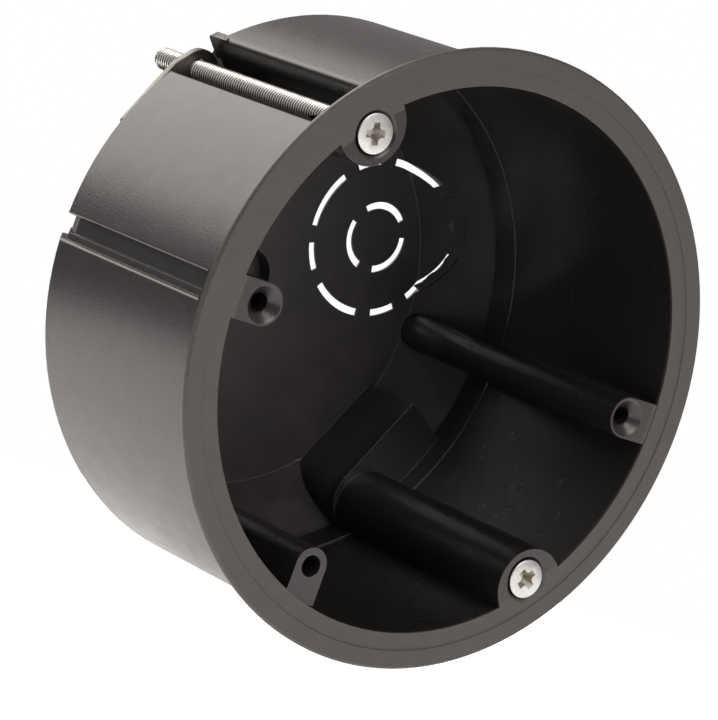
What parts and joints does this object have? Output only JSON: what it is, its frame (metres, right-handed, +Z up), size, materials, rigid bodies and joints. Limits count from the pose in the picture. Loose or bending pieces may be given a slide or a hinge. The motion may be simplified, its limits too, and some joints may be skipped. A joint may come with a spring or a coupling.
{
  "type": "drywall back box",
  "caption": "Round flush back box for hollow walls: thin flange, deep tapered body with knockouts, and countersunk screws with swing-out claws that grip the board from behind.",
  "frame": {"origin": "on the box's axis, in the plane of the wall's face, where the back of the flange lies", "axes": "+Y along the box's axis from the open front into the wall, +X to the right and +Z up as the open front is seen; the device screws lie left and right on X"},
  "size_m": [0.0776, 0.0492, 0.0776],
  "materials": {
    "black_plastic": "satin, finely grained",
    "zinc_screw": "bright zinc",
    "zinc_claw": "dull zinc"
  },
  "bodies": {
    "back_box": {"back_box": "black_plastic"},
    "clamp_screw_upper": {"clamp_screw_upper": "zinc_screw"},
    "clamp_claw_upper": {"clamp_claw_upper": "zinc_claw"},
    "clamp_screw_lower": {"clamp_screw_lower": "zinc_screw"},
    "clamp_claw_lower": {"clamp_claw_lower": "zinc_claw"}
  },
  "joints": [
    {"name": "screw_turn_upper", "type": "hinge", "parent": "back_box", "child": "clamp_screw_upper", "pos_m": [-0.02305, 0.02, 0.02305], "axis": [0, 1, 0], "continuous": true},
    {"name": "claw_swing_upper", "type": "hinge", "parent": "back_box", "child": "clamp_claw_upper", "pos_m": [-0.02305, 0.03765, 0.02305], "axis": [0, 1, 0], "range_deg": [0, 92]},
    {"name": "screw_turn_lower", "type": "hinge", "parent": "back_box", "child": "clamp_screw_lower", "pos_m": [0.02305, 0.02, -0.02305], "axis": [0, 1, 0], "continuous": true},
    {"name": "claw_swing_lower", "type": "hinge", "parent": "back_box", "child": "clamp_claw_lower", "pos_m": [0.02305, 0.03765, -0.02305], "axis": [0, 1, 0], "range_deg": [0, 92]}
  ]
}
